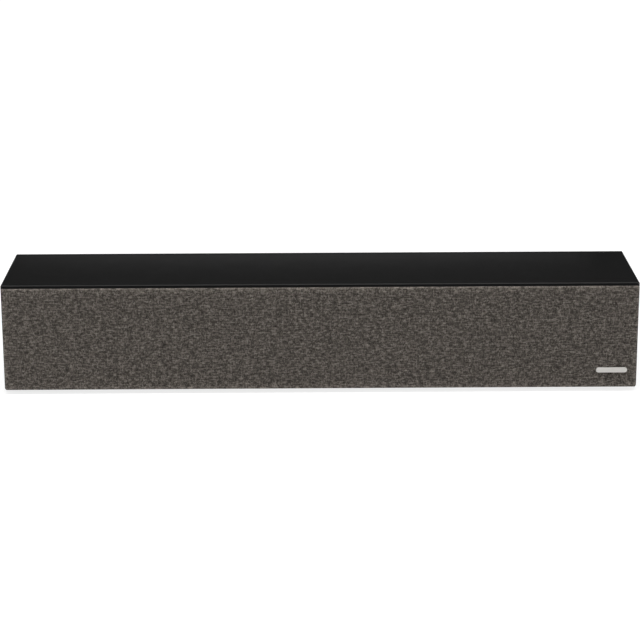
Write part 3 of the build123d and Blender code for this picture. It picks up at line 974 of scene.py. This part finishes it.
def thin_shell(name, hub, section, wall, steps=72, first=0.0, sweep=2 * pi):
    """A turned skin that looks to the front, thickened backwards."""
    piece = turned(name, hub, section, steps, first, sweep)
    edit(piece)
    face_out(piece, (0, -1, 0))
    modify(piece, "SOLIDIFY", thickness=wall, offset=-1.0)
    return piece


basket_low, basket_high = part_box("woofer_baskets")
basket_half = (basket_high.z - basket_low.z) / 2
axis_z = (basket_high.z + basket_low.z) / 2
left_hub = (basket_low.x + basket_half, axis_z)
right_hub = (basket_high.x - basket_half, axis_z)
to_right = Matrix.Translation((right_hub[0] - left_hub[0], 0, 0))


def for_both(name, left):
    return joined(name, [left, twin(left, to_right)])


print("woofers at", [round(hub[0] / MM) for hub in (left_hub, right_hub)], "mm")

# %% [markdown]
# ### Cone and dust cap
# The cone's side is slightly curved, which makes paper stiff, and has two fine pressed rings. The cap is
# a low dome glued on the cone. The cone is a thin shell, drawn as one skin and thickened backwards, and
# the cap is closed at its back.

# %% Cones and dust caps
cone_low, cone_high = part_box("woofer_cones")
cone_rim = (cone_high.z - cone_low.z) / 2
cone_neck = 10.4 * MM
cone_wall = 0.4 * MM
cone_depth = cone_high.y - cone_low.y - 2 * cone_wall
cone_steps = 24
cone_bulge = 0.5 * MM
ring_steps = (9, 15)
ring_height = 0.25 * MM
cone_section = []
for step in range(cone_steps + 1):
    share = step / cone_steps
    ring = ring_height if step in ring_steps else 0
    depth = cone_depth * share - cone_bulge * sin(pi * share) - ring
    cone_section.append((cone_rim + (cone_neck - cone_rim) * share, cone_low.y + max(depth, 0)))
cones = for_both("cone_shells", thin_shell("cone", left_hub, cone_section, cone_wall))
done(cones, pulp, "woofer_diaphragms", "cone", "woofer_cones")

cap_low, cap_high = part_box("woofer_dust_caps")
cap_rim = (cap_high.z - cap_low.z) / 2
cap_rise = cap_high.y - cap_low.y
cap_steps = 10
cap_section = []
for step in range(cap_steps + 1):
    angle = pi / 2 * step / cap_steps
    cap_section.append((cap_rim * cos(angle), cap_high.y - cap_rise * sin(angle)))
cap_section += [(0, cap_high.y), (cap_rim, cap_high.y)]
caps = for_both("dust_cap_domes", turned("cap", left_hub, cap_section, steps=64))
done(caps, pulp, "woofer_diaphragms", "dust_cap", "woofer_dust_caps")

# %% [markdown]
# ### The rubber roll
# The surround is a half roll of rubber between the flange and the cone's rim. Its outer land stays with
# the basket and its inner land moves with the cone, so the roll has to bend in between. Along the axis it
# has one: the outer half of the roll rises from its land to its crest. The roll is therefore two rings
# that meet at the crest. The outer one is meant to bend by its height and is left on no body, and the
# inner one rides with the cones.

# %% Both halves of the rolls
roll_low, roll_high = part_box("woofer_surrounds")
roll_outer = (roll_high.z - roll_low.z) / 2
roll_inner = 23.6 * MM
outer_land = 3.0 * MM
inner_land = 1.3 * MM
roll_wall = 0.5 * MM
roll_steps = 10
land_y = roll_high.y - roll_wall
arch_middle = (roll_outer - outer_land + roll_inner + inner_land) / 2
arch_half = roll_outer - outer_land - arch_middle
arch_rise = land_y - roll_low.y


def quarter_arch(first):
    angles = [first + pi / 2 * step / roll_steps for step in range(roll_steps + 1)]
    return [(arch_middle + arch_half * cos(a), land_y - arch_rise * sin(a)) for a in angles]


outer_section = [(roll_outer, land_y)] + quarter_arch(0)
inner_section = quarter_arch(pi / 2) + [(roll_inner, land_y)]
outer_rolls = for_both("roll_outer_halves", thin_shell("roll", left_hub, outer_section, roll_wall))
inner_rolls = for_both("roll_inner_halves", thin_shell("roll", left_hub, inner_section, roll_wall))
done(inner_rolls, roll_rubber, "woofer_diaphragms", "roll_rubber", "woofer_surrounds")

# %% [markdown]
# A piece that bends doesn't ride on one body, so its last step is a helper of its own.

# %% The half that bends
bend_smooth = 50


def bends(piece, material, stands_for):
    """Finishes a piece that is to bend: smooths it, gives it its material, hides the solid it stands for and
    bakes its place into its mesh.
    """
    only(piece)
    bpy.ops.object.shade_smooth_by_angle(angle=radians(bend_smooth))
    piece.data.materials.append(material)
    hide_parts(stands_for)
    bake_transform(piece)
    print(piece.name, "bends, with", len(piece.data.polygons), "faces")


bends(outer_rolls, roll_rubber, "woofer_surrounds")

# %% [markdown]
# ### The spider
# Behind the cone a disc of lacquered cloth, pressed into waves, centres the coil. It is flat on the
# whole, so it can't bend by its height. It is made as eight sectors instead, each to bend along its own
# radius, with a flat land at both ends of the waves. One sector is modelled on the frame's own axis and
# turned and carried to its sixteen places.

# %% Spiders
spider_low, spider_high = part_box("woofer_spiders")
spider_outer = (spider_high.z - spider_low.z) / 2
spider_inner = 10.4 * MM
spider_land = 1.0 * MM
spider_wall = 0.35 * MM
spider_waves = 4
wave_height = 0.6 * MM
wave_steps = 8 * spider_waves
sector_count = 8
sector_steps = 12
sector = 2 * pi / sector_count
spider_y = (spider_low.y + spider_high.y) / 2
wave_start = spider_outer - spider_land
wave_end = spider_inner + spider_land
spider_section = [(spider_outer, spider_y)]
for step in range(wave_steps + 1):
    share = step / wave_steps
    lift = wave_height * sin(2 * pi * spider_waves * share)
    spider_section.append((wave_start + (wave_end - wave_start) * share, spider_y - lift))
spider_section.append((spider_inner, spider_y))
one_sector = thin_shell(
    "sector", (0, 0), spider_section, spider_wall, sector_steps, first=-sector / 2, sweep=sector
)
for side, hub in (("left", left_hub), ("right", right_hub)):
    to_hub = Matrix.Translation((hub[0], 0, hub[1]))
    for index in range(sector_count):
        piece = twin(one_sector, to_hub @ Matrix.Rotation(-index * sector, 4, "Y"))
        piece.name = f"spider_{side}_{index + 1}"
        bends(piece, spider_cloth, "woofer_spiders")
bpy.data.objects.remove(one_sector)

# %% [markdown]
# ### Tweeter
# The faceplate is an octagon with a short horn. The horn could be inset and pushed in, but its round
# mouth has to meet the octagon's flat face, so a cone is turned and cut out of the plate.

# %% Faceplate
plate_low, plate_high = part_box("tweeter_faceplate")
plate_half = (plate_high.z - plate_low.z) / 2
plate_middle = (plate_low + plate_high) / 2
plate_depth = plate_high.y - plate_low.y
plate_sides = 8
plate_edge = 0.8 * MM
throat = 17 * MM
horn_mouth = 22 * MM
slack = 0.5 * MM
slope = (horn_mouth - throat) / plate_depth
tweeter_hub = (plate_middle.x, plate_middle.z)
plate_radius = plate_half / cos(pi / plate_sides)
plate = drum("tweeter_plate", plate_radius, plate_depth, plate_middle, plate_sides)
edit(plate)
bpy.ops.mesh.select_all(action="SELECT")
bpy.ops.transform.rotate(value=pi / plate_sides, orient_axis="Y", center_override=plate_middle)
bevel_front_outline(plate, plate_edge, segments=3)
horn_section = [
    (0, plate_high.y + slack), (throat - slope * slack, plate_high.y + slack),
    (horn_mouth + slope * slack, plate_low.y - slack), (0, plate_low.y - slack),
]
cut(plate, turned("horn", tweeter_hub, horn_section, steps=64))
done(plate, driver_plastic, "cabinet", "driver_plastic", "tweeter_faceplate", smooth=24)

# %% [markdown]
# Behind the plate the silk dome bulges out of a small roll of its own, in one piece with the flat edge
# that is clamped. Half a sphere and a ring could be joined, but edge, roll and dome drawn as one half
# section have no seam.

# %% Dome
dome_low, dome_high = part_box("tweeter_dome")
dome_sheet = 0.6 * MM
dome_seat = dome_high.y - dome_sheet
dome_rise = dome_seat - dome_low.y
dome_radius = 12.0 * MM
dome_edge = 19.8 * MM
dome_steps = 12
small_roll = 1.9 * MM
small_roll_rise = 1.045 * MM
small_roll_steps = 8
dome_section = [(dome_edge, dome_high.y), (dome_edge, dome_seat)]
dome_section.append((dome_radius + 2 * small_roll, dome_seat))
for step in range(1, small_roll_steps + 1):
    angle = pi * step / small_roll_steps
    radius = dome_radius + small_roll * (1 + cos(angle))
    dome_section.append((radius, dome_seat - small_roll_rise * sin(angle)))
for step in range(1, dome_steps + 1):
    angle = pi / 2 * step / dome_steps
    dome_section.append((dome_radius * cos(angle), dome_seat - dome_rise * sin(angle)))
dome_section += [(0, dome_high.y), (dome_edge, dome_high.y)]
dome = turned("silk_dome", tweeter_hub, dome_section, steps=64)
done(dome, silk, "cabinet", "silk", "tweeter_dome")

# %% [markdown]
# ## Screws
# Drivers, terminal tray and hangers are held by small pan-head screws with a cross recess. A bump could
# stand for the recess, but from near by it would have no depth. So one head is turned, and two crossed
# bars are cut out of it.

# %% One screw head
head_radius = 2.7 * MM
head_height = 1.2 * MM
head_steps = 6
flat_share = 0.62
wall_share = 0.45
recess_length = 2.9 * MM
recess_width = 0.75 * MM
recess_depth = 0.8 * MM
head_section = [(0, -head_height)]
for step in range(1, head_steps + 1):
    angle = pi / 2 * step / head_steps
    radius = head_radius * (flat_share + (1 - flat_share) * sin(angle))
    head_section.append((radius, -head_height * (wall_share + (1 - wall_share) * cos(angle))))
head_section += [(head_radius, 0), (0, 0)]
screw = turned("screw", (0, 0), head_section, steps=28)
for length, width in ((recess_length, recess_width), (recess_width, recess_length)):
    half = Vector((length, 0, width)) / 2
    above = Vector((0, -head_height - MM, 0))
    bottom = Vector((0, recess_depth - head_height, 0))
    cut(screw, block("recess", above - half, bottom + half))
print("screw head with", len(screw.data.polygons), "faces")

# %% [markdown]
# Copies of the head, each with its own mesh, go where the screws are. Each is turned by another angle,
# because a screw stops where it is tight.

# %% Screws in their places
turn_per_metre = 900


def screws(name, spots, y, to_rear, scale=1.0):
    """Copies of the head, seated on the face at y, joined as one group."""
    copies = []
    for x, z in spots:
        turn = Matrix.Rotation(pi if to_rear else 0, 4, "Z") @ Matrix.Rotation(x * turn_per_metre, 4, "Y")
        copies.append(twin(screw, Matrix.Translation((x, y, z)) @ turn @ Matrix.Scale(scale, 4)))
    done(joined(name, copies), screw_black, "cabinet", "basket_steel")


def around(hub, radius):
    reach = radius / sqrt(2)
    return [(hub[0] + i * reach, hub[1] + k * reach) for i, k in corners]


woofer_ring = 36.6 * MM
tweeter_ring = 27.4 * MM
woofer_spots = around(left_hub, woofer_ring) + around(right_hub, woofer_ring)
tweeter_spots = around((plate_middle.x, axis_z), tweeter_ring)
screws("woofer_screws", woofer_spots, basket_low.y, to_rear=False, scale=0.62)
screws("tweeter_screws", tweeter_spots, plate_low.y, to_rear=False, scale=0.8)
screws("tray_screws", cup_screw_spots, cup_high.y - counterbore_depth, to_rear=True)
hanger_low, hanger_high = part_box("keyhole_plates")
hanger_half = 11 * MM
hanger_reach = 17.5 * MM
hanger_xs = (hanger_low.x + hanger_half, hanger_high.x - hanger_half)
hanger_spots = [(x, axis_z + k * hanger_reach) for x in hanger_xs for k in (-1, 1)]
screws("hanger_screws", hanger_spots, hanger_high.y, to_rear=True)
bpy.data.objects.remove(screw)

# %% [markdown]
# ## Wadding
# Two pads of polyester wadding line the inside of the top. A simulation could puff them up, but they lie
# hidden in the cabinet and only have to be soft blocks without sharp edges: a cube is divided, its skin
# is made uneven with a fixed seed, and subdivision rounds it. The top face, which is glued, stays flat.
# The second pad is a copy of the first.

# %% Wadding pads
pad_low, pad_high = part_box("damping_pads")
pad_width = 90 * MM
pad_slack = 1.2 * MM
pad_bottom_slack = 0.72 * MM
pad_cuts = 7
pad_unevenness = 1.0 * MM
glued_depth = 2 * MM
pad_inset = Vector((pad_slack, pad_slack, 0))
left_pad_low = pad_low + pad_inset + Vector((0, 0, pad_bottom_slack))
left_pad_high = Vector((pad_low.x + pad_width, pad_high.y, pad_high.z)) - pad_inset
pad = block("pad", left_pad_low, left_pad_high)
edit(pad)
bpy.ops.mesh.select_all(action="SELECT")
bpy.ops.mesh.subdivide(number_cuts=pad_cuts)
choose(pad, "VERT", lambda vertex: vertex.co.z < pad_high.z - glued_depth)
bpy.ops.transform.vertex_random(offset=pad_unevenness, seed=4)
modify(pad, "SUBSURF", levels=1, render_levels=1)
across_pads = Matrix.Translation((pad_high.x - pad_low.x - pad_width, 0, 0))
pads = joined("wadding_pads", [pad, twin(pad, across_pads)])
done(pads, wadding, "cabinet", "wadding", "damping_pads")

# %% [markdown]
# ## Measure and finish
# The dressed speaker is measured against the box of its solids, and how far it reaches past that box on each
# side is printed. The dressed speaker has to stay in the box of its solids.

# %% Boxes
visual_low, visual_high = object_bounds()
grown = list(cad_low - visual_low) + list(visual_high - cad_high)
print("grown by", [round(v / MM, 2) for v in grown], "mm")
